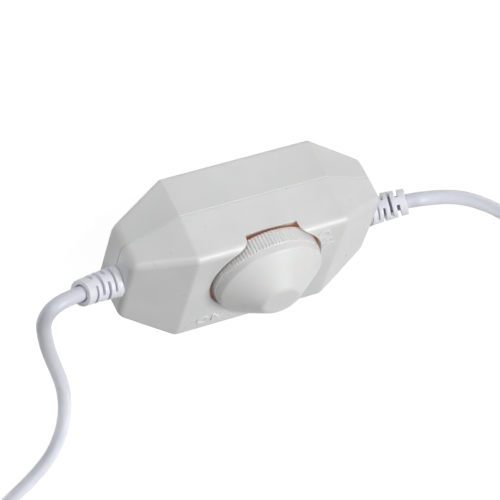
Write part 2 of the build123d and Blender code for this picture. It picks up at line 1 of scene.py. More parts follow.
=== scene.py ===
# %% [markdown]
# An in-line lamp dimmer: two faceted plastic covers around a rotary knob, with a lead from each
# end. The construction is already modelled at its real size. This lesson loads it and gives it its
# looks: real leads instead of plain tubes, bent strain reliefs, the raised words on the front, the
# finishes and the light. Everything is in metres, with the dimmer lying on its back, its leads
# along X and its knob up.

# %% Load the model
import bpy
import bmesh
import math
from mathutils import Matrix, Vector


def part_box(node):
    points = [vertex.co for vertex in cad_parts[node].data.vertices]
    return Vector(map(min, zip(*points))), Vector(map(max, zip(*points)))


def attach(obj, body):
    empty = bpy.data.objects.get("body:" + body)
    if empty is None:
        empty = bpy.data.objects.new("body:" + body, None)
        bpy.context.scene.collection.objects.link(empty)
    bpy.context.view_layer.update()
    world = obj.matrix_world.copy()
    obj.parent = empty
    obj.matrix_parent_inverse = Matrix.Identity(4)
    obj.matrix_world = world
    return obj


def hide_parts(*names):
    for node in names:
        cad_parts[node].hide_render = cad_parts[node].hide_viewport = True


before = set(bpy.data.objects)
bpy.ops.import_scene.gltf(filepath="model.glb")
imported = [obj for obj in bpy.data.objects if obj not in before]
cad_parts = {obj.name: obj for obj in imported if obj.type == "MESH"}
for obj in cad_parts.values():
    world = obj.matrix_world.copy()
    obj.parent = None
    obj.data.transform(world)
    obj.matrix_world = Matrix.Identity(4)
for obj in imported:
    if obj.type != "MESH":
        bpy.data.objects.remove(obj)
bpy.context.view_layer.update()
scene = bpy.context.scene

# %% [markdown]
# The camera. The photograph looks at the long side with the thumb notch, from above, and the
# camera is turned over, so the dimmer's front points down to the right in the picture. A long lens
# about a metre away gives the photograph's very slight perspective. The aim, the distance and three
# angles say all this in a form that is easy to change, which a raw matrix is not.

# %% Camera
camera_aim = Vector((0.0046, -0.0074, 0.0185))
camera_distance = 0.952
camera_side = math.radians(114.8)
camera_height = math.radians(25.94)
camera_roll = math.radians(152.9)
lens = 197.4

towards_camera = Vector((
    math.cos(camera_height) * math.cos(camera_side),
    math.cos(camera_height) * math.sin(camera_side),
    math.sin(camera_height),
))
camera_data = bpy.data.cameras.new("camera")
camera_data.lens = lens
camera_data.sensor_width = 36.0
camera_data.clip_start = 0.05
camera = bpy.data.objects.new("camera", camera_data)
scene.collection.objects.link(camera)
upright = (-towards_camera).to_track_quat("-Z", "Y").to_matrix().to_4x4()
place = Matrix.Translation(camera_aim + towards_camera * camera_distance)
camera.matrix_world = place @ upright @ Matrix.Rotation(camera_roll, 4, "Z")
scene.camera = camera
print("camera at", [round(value, 3) for value in camera.matrix_world.translation])

# %% [markdown]
# The leads. A round two-core lamp lead is a fixed length of something springy: it bends its strain
# relief as it leaves, sinks to the table under its own weight, and wanders over it. A chain of
# straight pieces would look like bent wire, and a simulation would not repeat the photograph. A
# NURBS curve near a few chosen control points is smooth everywhere, so both leads are such curves,
# and their spare length is wound into neat coils, where more control points go round.
#
# The axis of each lead is also that of its strain relief. The relief's ribs are stiffer than its
# slots, so more than half of the bend is given to the four slots and the rest is spread evenly.

# %% Lead sizes and routes
lead_diameter = 0.0052
lead_radius = lead_diameter / 2
lead_axis = 0.0202
end_face = 0.0477
relief_gap = 0.0003
plug_side = -1
lamp_side = 1
relief_reach = {plug_side: 0.0158, lamp_side: 0.0150}
relief_bend = math.radians(24)
bend_towards = {
    plug_side: Vector((0.0, 0.772, 0.636)).normalized(),
    lamp_side: Vector((0.0, 0.840, 0.540)).normalized(),
}
bend_early = {plug_side: 1.2, lamp_side: 2.0}
bend_at_slots = 0.6
slot_width = 0.0012
slot_first = 0.0032
slot_pitch = 0.00285
slot_count = 4
axis_steps = 40


def even_bend(distance, side):
    """The share of its bend that a sleeve without slots would have at a distance."""
    share = min(max(distance / relief_reach[side], 0.0), 1.0)
    return 1 - (1 - share) ** bend_early[side]


def relief_turn(distance, side):
    """How far a relief has bent at a distance outside the end face, more of it at the slots."""
    at_slots = 0.0
    for ring in range(slot_count):
        middle = slot_first + ring * slot_pitch
        before = middle - slot_pitch / 2 if ring > 0 else 0.0
        after = middle + slot_pitch / 2 if ring < slot_count - 1 else relief_reach[side]
        passed = min(max((distance - middle) / slot_width + 0.5, 0.0), 1.0)
        at_slots += (even_bend(after, side) - even_bend(before, side)) * passed
    spread_out = (1 - bend_at_slots) * even_bend(distance, side)
    return relief_bend * (spread_out + bend_at_slots * at_slots)


def relief_axis(distance, side):
    """The point on a lead's axis at a distance outside an end face, and its direction there."""
    along = end_face + min(distance, 0.0)
    sideways = 0.0
    step = max(distance, 0.0) / axis_steps
    for index in range(axis_steps):
        turn = relief_turn((index + 0.5) * step, side)
        along += step * math.cos(turn)
        sideways += step * math.sin(turn)
    turn = relief_turn(distance, side)
    point = Vector((side * along, 0.0, lead_axis)) + bend_towards[side] * sideways
    direction = Vector((side * math.cos(turn), 0.0, 0.0)) + bend_towards[side] * math.sin(turn)
    return point, direction


inside_and_relief = [-0.0097, -0.0050, 0.0, 0.0050, 0.0100, 0.0150]
plug_route = [tuple(relief_axis(distance, plug_side)[0]) for distance in inside_and_relief] + [
    (-0.0741, 0.0057, 0.0255),
    (-0.0773, -0.0029, 0.0260),
    (-0.0741, -0.0158, 0.0243),
    (-0.0695, -0.0312, 0.0208),
    (-0.0637, -0.0485, 0.0168),
    (-0.0575, -0.0663, 0.0130),
    (-0.0515, -0.0841, 0.0097),
    (-0.0465, -0.1020, 0.0068),
    (-0.0429, -0.1200, 0.0046),
    (-0.0409, -0.1384, 0.0030),
    (-0.0428, -0.1582, 0.0026),
    (-0.0502, -0.1748, 0.0026),
    (-0.0585, -0.1880, 0.0026),
]
lamp_route = [tuple(relief_axis(distance, lamp_side)[0]) for distance in inside_and_relief] + [
    (0.0669, 0.0059, 0.0245),
    (0.0777, -0.0003, 0.0226),
    (0.0889, -0.0107, 0.0189),
    (0.1007, -0.0237, 0.0144),
    (0.1144, -0.0404, 0.0091),
    (0.1273, -0.0573, 0.0034),
    (0.1372, -0.0680, 0.0026),
]
print("control points:", len(plug_route), "toward the plug,", len(lamp_route), "toward the lamp")

# %% [markdown]
# A coil of spare lead. The turns lie side by side, first inward on the table and then outward in a
# second layer, the way a lead is wound over a hand. Radius and height both follow the count of
# turns, so a loop with a rule for each is shorter and more even than points placed by eye.

# %% Coils
points_per_turn = 16
climb = 0.35


def coil_points(centre, start_angle, sense, turns, outer, inner, climb_at):
    """The control points of a coil, inward on the table for climb_at turns, then outward on top."""
    points = []
    count = round(turns * points_per_turn)
    for index in range(count + 1):
        turn = index / points_per_turn
        angle = start_angle + sense * 2 * math.pi * turn
        up = min(max((turn - climb_at) / climb, 0.0), 1.0)
        inward = outer - (outer - inner) * min(turn / climb_at, 1.0)
        on_top = max(turn - climb_at, 0.0) / (turns - climb_at)
        outward = inner + lead_radius + (outer - inner) * on_top
        radius = inward * (1 - up) + min(outward, outer) * up
        x = centre[0] + radius * math.cos(angle)
        y = centre[1] + radius * math.sin(angle)
        points.append((x, y, lead_radius + lead_diameter * up))
    return points


plug_coil_centre = (-0.0980, -0.2120)
lamp_coil_centre = (0.1730, -0.0600)
plug_coil = coil_points(
    plug_coil_centre, start_angle=math.radians(10), sense=-1, turns=4.53,
    outer=0.0337, inner=0.0233, climb_at=2.4,
)
lamp_coil = coil_points(
    lamp_coil_centre, start_angle=math.radians(225), sense=1, turns=2.375,
    outer=0.0311, inner=0.0259, climb_at=1.05,
)
print("coil control points:", len(plug_coil), "and", len(lamp_coil))

# %% [markdown]
# Each lead is one curve from the dimmer to its far end. The length is measured along the bare curve
# before the curve gets its thickness. The thickness is set at the control points rather than by the
# bevel alone, because the points' own radius also sets how large the piece counts as being.

# %% Lead ends
plug_tail = [
    (-0.1290, -0.1960, 0.0072),
    (-0.1290, -0.1860, 0.0056),
    (-0.1290, -0.1740, 0.0067),
    (-0.1290, -0.1670, 0.0067),
]
lamp_tail = [
    (0.2037, -0.0480, 0.0066),
    (0.2035, -0.0380, 0.0030),
    (0.2035, -0.0260, 0.0026),
    (0.2035, -0.0140, 0.0026),
]


def make_lead(name, points):
    """A round lead along control points, and its measured length."""
    curve = bpy.data.curves.new(name, "CURVE")
    curve.dimensions = "3D"
    spline = curve.splines.new("NURBS")
    spline.points.add(len(points) - 1)
    for control, point in zip(spline.points, points):
        control.co = (*point, 1.0)
        control.radius = lead_radius
    spline.order_u = 3
    spline.use_endpoint_u = True
    curve.resolution_u = 10
    lead = bpy.data.objects.new(name, curve)
    scene.collection.objects.link(lead)
    line = bpy.data.meshes.new_from_object(lead)
    places = [vertex.co for vertex in line.vertices]
    length = sum((places[a] - places[b]).length for a, b in (edge.vertices for edge in line.edges))
    bpy.data.meshes.remove(line)
    curve.bevel_depth = 1.0
    curve.bevel_resolution = 6
    curve.use_fill_caps = True
    return lead, length


plug_lead, plug_lead_length = make_lead("plug_lead", plug_route + plug_coil + plug_tail)
lamp_lead, lamp_lead_length = make_lead("lamp_lead", lamp_route + lamp_coil + lamp_tail)
for lead, nodes in (
    (plug_lead, ("cord_left", "coil_left", "cord_left_end")),
    (lamp_lead, ("cord_right", "coil_right", "cord_right_end")),
):
    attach(lead, "dimmer")
    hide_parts(*nodes)
print("plug lead", round(plug_lead_length, 3), "m, lamp lead", round(lamp_lead_length, 3), "m")

# %% [markdown]
# The strain reliefs. Each is a soft tapered sleeve, cut by four rings of slots so that it bends
# with the lead, and in the photograph both are bent toward the camera. The stored model has them
# straight, as they are made. A grid of cells round and along the bent axis, with the slots' cells
# left out, gives true openings and walls. Because the axis bends most at the slots, they open on
# one side and close on the other. Cutting a bent solid would be slower and less even.

# %% Strain reliefs
wall = 0.0020
relief_base_radius = 0.0055
relief_end_radius = 0.0046
relief_neck_radius = 0.0049
flange_radius = 0.0066
flange_thickness = 0.0017
flange_top = 0.0058
bore_radius = 0.00265
mouth_radius = 0.0031
mouth_depth = 0.0020
cells_round = 80
slot_cells = 32
round_off = 0.00016
sharp_angle = 0.7


def relief_stations(reach):
    """The places along a relief: distance, outer radius, inner radius and the slot ring there."""
    flange_start = -wall - relief_gap - flange_thickness
    flange_end = flange_start + flange_thickness
    stations = [
        (flange_start, flange_radius, bore_radius, None),
        (flange_end, flange_radius, bore_radius, None),
        (flange_end, relief_neck_radius, bore_radius, None),
        (relief_gap, relief_neck_radius, bore_radius, None),
    ]
    edges = [(relief_gap, None)]
    for ring in range(slot_count):
        middle = slot_first + ring * slot_pitch
        previous = edges[-1][0]
        slot_start = middle - slot_width / 2
        edges.append(((previous + slot_start) / 2, None))
        edges.append((slot_start, ring))
        edges.append((middle + slot_width / 2, None))
    last = edges[-1][0]
    recess = reach - mouth_depth
    edges += [((last + recess) / 2, None), (recess, None)]
    for distance, ring in edges:
        radius = relief_base_radius + (relief_end_radius - relief_base_radius) * distance / reach
        stations.append((distance, radius, bore_radius, ring))
    recess_radius = relief_base_radius + (relief_end_radius - relief_base_radius) * recess / reach
    middle_radius = (recess_radius + relief_end_radius) / 2
    stations.append((recess, recess_radius, mouth_radius, None))
    stations.append((recess + mouth_depth / 2, middle_radius, mouth_radius, None))
    stations.append((reach, relief_end_radius, mouth_radius, None))
    return stations


def is_open(stations, row, column):
    """Whether a cell between two stations belongs to a slot or lies beyond the relief."""
    if row < 0 or row >= len(stations) - 1:
        return True
    ring = stations[row][3]
    if ring is None:
        return False
    quarter_turn = cells_round // 4 if ring % 2 else 0
    from_middle = (column + quarter_turn + slot_cells // 2) % (cells_round // 2)
    return from_middle < slot_cells


def make_relief(name, side, slot_turn, node):
    """A bent, slotted strain relief at one end of the dimmer."""
    stations = relief_stations(relief_reach[side])
    mesh = bmesh.new()
    rows = []
    for distance, outer, inner, ring in stations:
        point, direction = relief_axis(distance, side)
        first = direction.cross(Vector((0, 0, 1))).cross(direction).normalized()
        second = direction.cross(first) * side
        row = []
        for radius in (outer, inner):
            circle = []
            for index in range(cells_round):
                angle = 2 * math.pi * index / cells_round + slot_turn
                place = point - second * radius * math.cos(angle) + first * radius * math.sin(angle)
                if distance < 0:
                    place.z = min(place.z, lead_axis + flange_top)
                circle.append(mesh.verts.new(place))
            row.append(circle)
        rows.append(row)

    for row in range(len(stations) - 1):
        (outer, inner), (next_outer, next_inner) = rows[row], rows[row + 1]
        for column in range(cells_round):
            if is_open(stations, row, column):
                continue
            beside = (column + 1) % cells_round
            # Four corners of the cell on the outside, and the four behind them on the inside.
            a, b, c, d = outer[column], outer[beside], next_outer[beside], next_outer[column]
            e, f, g, h = inner[column], inner[beside], next_inner[beside], next_inner[column]
            mesh.faces.new((a, b, c, d))
            mesh.faces.new((e, h, g, f))
            if is_open(stations, row, beside):
                mesh.faces.new((b, f, g, c))
            if is_open(stations, row, (column - 1) % cells_round):
                mesh.faces.new((a, d, h, e))
            if is_open(stations, row - 1, column):
                mesh.faces.new((a, e, f, b))
            if is_open(stations, row + 1, column):
                mesh.faces.new((d, c, g, h))
    loose = [vertex for vertex in mesh.verts if not vertex.link_faces]
    bmesh.ops.delete(mesh, geom=loose, context="VERTS")
    bmesh.ops.remove_doubles(mesh, verts=mesh.verts, dist=1e-6)
    bmesh.ops.dissolve_degenerate(mesh, dist=1e-7, edges=mesh.edges)
    bmesh.ops.recalc_face_normals(mesh, faces=mesh.faces)
    sharp = [
        edge for edge in mesh.edges
        if len(edge.link_faces) == 2 and edge.calc_face_angle(0.0) > sharp_angle
    ]
    bmesh.ops.bevel(
        mesh, geom=sharp, offset=round_off, segments=2, profile=0.5, affect="EDGES",
        clamp_overlap=True,
    )
    data = bpy.data.meshes.new(name)
    mesh.to_mesh(data)
    mesh.free()
    data.polygons.foreach_set("use_smooth", [True] * len(data.polygons))
    data.set_sharp_from_angle(angle=math.radians(50))
    relief = bpy.data.objects.new(name, data)
    scene.collection.objects.link(relief)
    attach(relief, "dimmer")
    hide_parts(node)
    return relief


plug_relief = make_relief(
    "plug_side_relief", plug_side, slot_turn=0.0, node="strain_relief_left",
)
lamp_relief = make_relief(
    "lamp_side_relief", lamp_side, slot_turn=math.radians(16), node="strain_relief_right",
)
print("relief faces:", len(plug_relief.data.polygons), "and", len(lamp_relief.data.polygons))

# %% [markdown]
# The ties. A coil of lead springs open unless something holds it, and leads are sold with a
# paper-covered wire twisted once round the coil. A closed curve round the coil's section with a
# short twisted pair of ends is that very thing, and a curve needs no modelling of its flat sides.

# %% Ties round the coils
tie_radius = 0.0006
apart = tie_radius * 1.1
twists = 3.0
end_points = 26
end_start = 0.002
end_reach = 0.011
end_drop = 0.003
coil_top = 0.0104


def make_tie(name, centre, angle, inner, outer, top):
    """A wire tie round a coil at one angle, with its two ends twisted together."""
    outward = Vector((math.cos(angle), math.sin(angle), 0.0))
    across = Vector((-outward.y, outward.x, 0.0))
    middle = Vector((*centre, 0.0))
    low = tie_radius
    high = top + tie_radius
    far = outer + tie_radius
    near = inner - tie_radius
    loop = [
        (near, low), (far, low), (far + tie_radius, top * 0.5),
        (far, high), (near, high), (near - tie_radius, top * 0.5),
    ]
    curve = bpy.data.curves.new(name, "CURVE")
    curve.dimensions = "3D"
    curve.bevel_depth = 1.0
    curve.bevel_resolution = 3
    ring = curve.splines.new("NURBS")
    ring.points.add(2 * len(loop) - 1)
    doubled = [point for point in loop for _ in range(2)]
    for control, (reach, height) in zip(ring.points, doubled):
        control.co = (*(middle + outward * reach + Vector((0, 0, height))), 1.0)
        control.radius = tie_radius
    ring.use_cyclic_u = True
    ring.order_u = 3
    start = middle + outward * far + Vector((0, 0, top * 0.55))
    for phase in (0.0, math.pi):
        end = curve.splines.new("NURBS")
        end.points.add(end_points - 1)
        for index, control in enumerate(end.points):
            share = index / (end_points - 1)
            swing = phase + share * twists * 2 * math.pi
            offset = across * math.cos(swing) * apart + Vector((0, 0, 1)) * math.sin(swing) * apart
            reach = outward * (end_start + end_reach * share) + Vector((0, 0, -end_drop * share))
            control.co = (*(start + reach + offset), 1.0)
            control.radius = tie_radius
        end.order_u = 3
        end.use_endpoint_u = True
    tie = bpy.data.objects.new(name, curve)
    scene.collection.objects.link(tie)
    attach(tie, "dimmer")
    return tie


plug_tie = make_tie(
    "plug_lead_tie", plug_coil_centre, math.radians(-150), inner=0.0207, outer=0.0363, top=coil_top,
)
lamp_tie = make_tie(
    "lamp_lead_tie", lamp_coil_centre, math.radians(70), inner=0.0233, outer=0.0337, top=coil_top,
)
print("ties:", plug_tie.name, lamp_tie.name)

# %% [markdown]
# Light and floor. The photograph is a cut-out on pure white under very soft light. The facets
# differ by only a few shades, brightest toward the notch side and the lamp end, darkest at the plug
# end. Four large square lamps, each almost a metre wide, give soft light whose direction is still
# known. The strongest one hangs where the front's rounded edge mirrors it, which draws the bright
# line there. A small fifth lamp brightens the lead to the plug where it leaves the picture. The
# floor shows almost white to the camera while it still takes the dimmer's shadow.

# %% World
world = bpy.data.worlds.new("studio")
scene.world = world
world.use_nodes = True
world_nodes = world.node_tree.nodes
world_links = world.node_tree.links
world_nodes.clear()
world_output = world_nodes.new("ShaderNodeOutputWorld")
seen = world_nodes.new("ShaderNodeBackground")
seen.inputs["Strength"].default_value = 1.0
lighting = world_nodes.new("ShaderNodeBackground")
lighting.inputs["Color"].default_value = (1.0, 1.0, 1.0, 1.0)
seen.inputs["Color"].default_value = (1.0, 1.0, 1.0, 1.0)
lighting.inputs["Strength"].default_value = 0.02


def sees_background(nodes, links):
    """One for camera, glossy and transmission rays, and zero for the rays that carry light."""
    path = nodes.new("ShaderNodeLightPath")
    either = nodes.new("ShaderNodeMath")
    either.operation = "MAXIMUM"
    links.new(path.outputs["Is Camera Ray"], either.inputs[0])
    links.new(path.outputs["Is Glossy Ray"], either.inputs[1])
    any_of = nodes.new("ShaderNodeMath")
    any_of.operation = "MAXIMUM"
    links.new(either.outputs[0], any_of.inputs[0])
    links.new(path.outputs["Is Transmission Ray"], any_of.inputs[1])
    return any_of.outputs[0]


world_mix = world_nodes.new("ShaderNodeMixShader")
world_links.new(sees_background(world_nodes, world_links), world_mix.inputs["Fac"])
world_links.new(lighting.outputs[0], world_mix.inputs[1])
world_links.new(seen.outputs[0], world_mix.inputs[2])
world_links.new(world_mix.outputs[0], world_output.inputs["Surface"])
scene.view_settings.view_transform = "Standard"
print("world strength for lighting:", lighting.inputs["Strength"].default_value)

# %% Lamps
lamp_distance = 1.8
lamp_size = 0.9
lead_lamp_height = 0.5
lead_lamp_size = 0.08
lead_lamp_place = Vector((-0.045, -0.150, 0.0))


def soft_lamp(name, direction, distance, size, power):
    """A square soft lamp that shines at the dimmer from a direction."""
    data = bpy.data.lights.new(name, "AREA")
    data.size = size
    data.energy = power
    lamp = bpy.data.objects.new(name, data)
    scene.collection.objects.link(lamp)
    from_dimmer = Vector(direction).normalized()
    turned = from_dimmer.to_track_quat("Z", "Y").to_matrix().to_4x4()
    lamp.matrix_world = Matrix.Translation(from_dimmer * distance) @ turned
    return lamp


lamps = [
    soft_lamp("high", (0.38, 0.49, 0.78), lamp_distance, lamp_size, 20.6),
    soft_lamp("left", (-0.50, 0.83, 0.25), lamp_distance, lamp_size, 8.1),
    soft_lamp("top", (0.15, 0.05, 1.0), lamp_distance, lamp_size, 2.7),
    soft_lamp("back", (0.55, -0.60, 0.60), lamp_distance, lamp_size, 1.5),
]
lead_lamp = soft_lamp("lead_end", (0.0, 0.0, 1.0), lead_lamp_height, lead_lamp_size, 0.024)
lead_lamp.data.spread = math.radians(24)
lead_lamp.location += lead_lamp_place
lamps.append(lead_lamp)
print("lamps in watts:", {lamp.name: lamp.data.energy for lamp in lamps})

# %% Floor
floor_mesh = bpy.data.meshes.new("floor")
floor_half = 0.6
floor_mesh.from_pydata(
    [
        (-floor_half, -floor_half, 0), (floor_half, -floor_half, 0),
        (floor_half, floor_half, 0), (-floor_half, floor_half, 0),
    ],
    [], [(0, 1, 2, 3)],
)
floor = bpy.data.objects.new("floor", floor_mesh)
floor.location.z = -0.00005
scene.collection.objects.link(floor)
floor_finish = bpy.data.materials.new("white_floor")
floor_finish.use_nodes = True
floor_nodes = floor_finish.node_tree.nodes
floor_links = floor_finish.node_tree.links
floor_nodes.clear()
floor_output = floor_nodes.new("ShaderNodeOutputMaterial")
paper = floor_nodes.new("ShaderNodeBsdfDiffuse")
paper.inputs["Color"].default_value = (0.80, 0.80, 0.80, 1.0)
shade = floor_nodes.new("ShaderNodeBsdfDiffuse")
shade.inputs["Color"].default_value = (0.14, 0.14, 0.14, 1.0)
glow = floor_nodes.new("ShaderNodeEmission")
glow.inputs["Strength"].default_value = 0.955
shade_and_glow = floor_nodes.new("ShaderNodeAddShader")
floor_mix = floor_nodes.new("ShaderNodeMixShader")
floor_links.new(shade.outputs[0], shade_and_glow.inputs[0])
floor_links.new(glow.outputs[0], shade_and_glow.inputs[1])
floor_links.new(sees_background(floor_nodes, floor_links), floor_mix.inputs["Fac"])
floor_links.new(paper.outputs[0], floor_mix.inputs[1])
floor_links.new(shade_and_glow.outputs[0], floor_mix.inputs[2])
floor_links.new(floor_mix.outputs[0], floor_output.inputs["Surface"])
floor.data.materials.append(floor_finish)
print("floor:", floor_half * 2, "m square")

# %% [markdown]
# Moulded plastic. Satin housing plastic is never one flat colour: the mould is spark-eroded, which
# leaves a fine grain that softens the gloss, and the pigment varies a little over centimetres.
# Three small noise patterns drive colour, roughness and bump, and a little subsurface scattering
# softens the edges. A picture texture would blur close up and need a layout, which noise in the
# object's own space does not.
#
# Light that creeps through the walls glows warm deep in the knob's pocket, and here that glow is
# painted: a darker warm pigment and a faint emission, stronger the deeper a surface lies, on the
# front cover and on the knob near the pocket's floor. How deep a surface lies there follows from
# its height and its distance from the knob's axis, and the thin lip of the thumb notch stays light.
# The same kind of distance places the tiny speck of dirt by the seam and the painted shade on the
# lead inside the strain reliefs.

# %% Plastic finish
knob_axis = (0.0004, 0.0058, 0.0)
speck_place = (0.01195, 0.02557, 0.01718)
speck_colour = (0.20, 0.17, 0.14)
# Painted shade for the lead inside the strain reliefs.
slot_shade = (0.15, 0.16, 0.26)
# Painted warm shade and glow deep in the knob's pocket, for light through the walls.
painted_glow_pigment = (0.62, 0.40, 0.29)
painted_glow_emission = (0.085, 0.038, 0.021)


def start_material(name):
    """An empty node material with its output and main shader."""
    material = bpy.data.materials.new(name)
    material.use_nodes = True
    nodes = material.node_tree.nodes
    nodes.clear()
    output = nodes.new("ShaderNodeOutputMaterial")
    shader = nodes.new("ShaderNodeBsdfPrincipled")
    material.node_tree.links.new(shader.outputs[0], output.inputs["Surface"])
    return material, nodes, material.node_tree.links, shader


def noise(nodes, links, size, detail=2.0, stretch=(1.0, 1.0, 1.0)):
    """Noise whose features are about one size across, in metres."""
    coordinates = nodes.new("ShaderNodeTexCoord")
    mapping = nodes.new("ShaderNodeMapping")
    mapping.inputs["Scale"].default_value = stretch
    texture = nodes.new("ShaderNodeTexNoise")
    texture.inputs["Scale"].default_value = 1.0 / size
    texture.inputs["Detail"].default_value = detail
    links.new(coordinates.outputs["Object"], mapping.inputs["Vector"])
    links.new(mapping.outputs["Vector"], texture.inputs["Vector"])
    return texture.outputs["Fac"]


def spread(nodes, links, value, low, high, from_low=0.3, from_high=0.7):
    """A value spread between two numbers, and held there beyond its own range."""
    remap = nodes.new("ShaderNodeMapRange")
    remap.inputs["From Min"].default_value = from_low
    remap.inputs["From Max"].default_value = from_high
    remap.inputs["To Min"].default_value = low
    remap.inputs["To Max"].default_value = high
    links.new(value, remap.inputs["Value"])
    return remap.outputs["Result"]


def tint(nodes, links, value, first, second):
    """A colour between two, chosen by a value from 0 to 1."""
    mix = nodes.new("ShaderNodeMix")
    mix.data_type = "RGBA"
    mix.inputs["A"].default_value = (*first, 1.0)
    mix.inputs["B"].default_value = (*second, 1.0)
    links.new(value, mix.inputs["Factor"])
    return mix.outputs["Result"]


def mixed_in(nodes, links, colour, value, other):
    """A colour output turned toward another colour by a value from 0 to 1."""
    mix = nodes.new("ShaderNodeMix")
    mix.data_type = "RGBA"
    mix.inputs["B"].default_value = (*other, 1.0)
    links.new(colour, mix.inputs["A"])
    links.new(value, mix.inputs["Factor"])
    return mix.outputs["Result"]


def distance_to(nodes, links, place, keep=(1.0, 1.0, 1.0)):
    """The distance of the surface from a place, along the axes that are kept."""
    coordinates = nodes.new("ShaderNodeTexCoord")
    flatten = nodes.new("ShaderNodeVectorMath")
    flatten.operation = "MULTIPLY"
    flatten.inputs[1].default_value = keep
    links.new(coordinates.outputs["Object"], flatten.inputs[0])
    measure = nodes.new("ShaderNodeVectorMath")
    measure.operation = "DISTANCE"
    measure.inputs[1].default_value = place
    links.new(flatten.outputs[0], measure.inputs[0])
    return measure.outputs["Value"]


def axis_share(nodes, links, axis, none_at, full_at):
    """Zero at one place along an axis and one at another, with a slope between."""
    coordinates = nodes.new("ShaderNodeTexCoord")
    parts = nodes.new("ShaderNodeSeparateXYZ")
    links.new(coordinates.outputs["Object"], parts.inputs[0])
    return spread(nodes, links, parts.outputs[axis], 0.0, 1.0, none_at, full_at)


def product(nodes, links, first, second):
    """Two values multiplied."""
    multiply = nodes.new("ShaderNodeMath")
    multiply.operation = "MULTIPLY"
    links.new(first, multiply.inputs[0])
    links.new(second, multiply.inputs[1])
    return multiply.outputs[0]


def larger(nodes, links, first, second):
    """The larger of two values."""
    maximum = nodes.new("ShaderNodeMath")
    maximum.operation = "MAXIMUM"
    links.new(first, maximum.inputs[0])
    links.new(second, maximum.inputs[1])
    return maximum.outputs[0]


def painted_pocket_glow(nodes, links):
    """How much painted warm shade and glow the front cover gets, by how deep in the pocket it lies.
    """
    from_axis = distance_to(nodes, links, knob_axis, (1.0, 1.0, 0.0))
    round_pocket = spread(nodes, links, from_axis, 1.0, 0.0, 0.0209, 0.0212)
    below_front = axis_share(nodes, links, "Z", 0.0346, 0.0302)
    above_base = axis_share(nodes, links, "Z", 0.0292, 0.0293)
    inner_part = axis_share(nodes, links, "Y", 0.0238, 0.0224)
    above_floor = axis_share(nodes, links, "Z", 0.0296, 0.0298)
    off_the_lip = larger(nodes, links, inner_part, above_floor)
    depth = product(nodes, links, below_front, below_front)
    in_pocket = product(nodes, links, round_pocket, above_base)
    return product(nodes, links, in_pocket, product(nodes, links, depth, off_the_lip))


def painted_knob_glow(nodes, links):
    """How much painted warm shade and glow the knob gets, by how near the pocket's floor it lies.
    """
    near_floor = axis_share(nodes, links, "Z", 0.0328, 0.0304)
    return product(nodes, links, near_floor, near_floor)


def painted_relief_shade(nodes, links):
    """How much painted shade of the slots darkens a lead, on its part inside the relief."""
    from_middle = distance_to(nodes, links, (0.0, 0.0, 0.0), (1.0, 1.0, 0.0))
    return spread(nodes, links, from_middle, 0.85, 0.0, 0.0602, 0.0606)


def seam_speck(nodes, links):
    """A tiny speck of dirt on the notch side, just above the seam."""
    return spread(nodes, links, distance_to(nodes, links, speck_place), 0.45, 0.0, 0.00012, 0.00034)


def shaded(colour, factor):
    """A colour made a little lighter or darker."""
    return tuple(min(channel * factor, 1.0) for channel in colour)


def moulded_plastic(
    name, colour, gloss, grain_size, grain_height, glow=0.0, stretch=(1.0, 1.0, 1.0), contrast=0.03,
    painted_glow_rule=None, dirt_and_shade=None, dirt_and_shade_colour=speck_colour,
):
    """A moulded plastic with drifting pigment, uneven gloss and a fine grain.

    Two optional rules say where painted warm shade and glow stand in for light through the walls,
    and where dirt or painted shade gives another colour.
    """
    material, nodes, links, shader = start_material(name)
    drift = spread(nodes, links, noise(nodes, links, 0.018), 0.0, 1.0)
    pigment = tint(nodes, links, drift, shaded(colour, 1 - contrast), shaded(colour, 1 + contrast))
    # Dirt or painted shade, in its own colour.
    if dirt_and_shade:
        pigment = mixed_in(nodes, links, pigment, dirt_and_shade(nodes, links), dirt_and_shade_colour)
    # Painted warm shade and glow: a darker warm pigment and an emission for light through the
    # walls.
    if painted_glow_rule:
        share = painted_glow_rule(nodes, links)
        pigment = mixed_in(nodes, links, pigment, share, painted_glow_pigment)
        painted_glow_colour = tint(nodes, links, share, (0.0, 0.0, 0.0), painted_glow_emission)
        links.new(painted_glow_colour, shader.inputs["Emission Color"])
        shader.inputs["Emission Strength"].default_value = 1.0
    links.new(pigment, shader.inputs["Base Color"])
    uneven = spread(nodes, links, noise(nodes, links, 0.004, 3.0), gloss - 0.05, gloss + 0.05)
    links.new(uneven, shader.inputs["Roughness"])
    bump = nodes.new("ShaderNodeBump")
    bump.inputs["Strength"].default_value = 0.6
    bump.inputs["Distance"].default_value = grain_height
    links.new(noise(nodes, links, grain_size, 2.0, stretch), bump.inputs["Height"])
    links.new(bump.outputs["Normal"], shader.inputs["Normal"])
    shader.inputs["Subsurface Weight"].default_value = glow
    shader.inputs["Subsurface Radius"].default_value = (1.0, 0.55, 0.32)
    shader.inputs["Subsurface Scale"].default_value = 0.0012
    shader.inputs["IOR"].default_value = 1.5
    return material


# Painted warm shade and glow in the pocket, and a real speck of dirt by the seam.
front_plastic = moulded_plastic(
    "front_housing_plastic", (0.792, 0.792, 0.792), 0.32, 0.00045, 0.000024, glow=0.12,
    painted_glow_rule=painted_pocket_glow, dirt_and_shade=seam_speck,
)
rear_plastic = moulded_plastic(
    "rear_housing_plastic", (0.752, 0.755, 0.753), 0.44, 0.00045, 0.000030, glow=0.12,
)
# Painted warm shade and glow near the pocket's floor.
knob_plastic = moulded_plastic(
    "knob_plastic", (0.825, 0.825, 0.825), 0.36, 0.00060, 0.000016, glow=0.30, painted_glow_rule=painted_knob_glow,
)
print("plastics:", front_plastic.name, rear_plastic.name, knob_plastic.name)

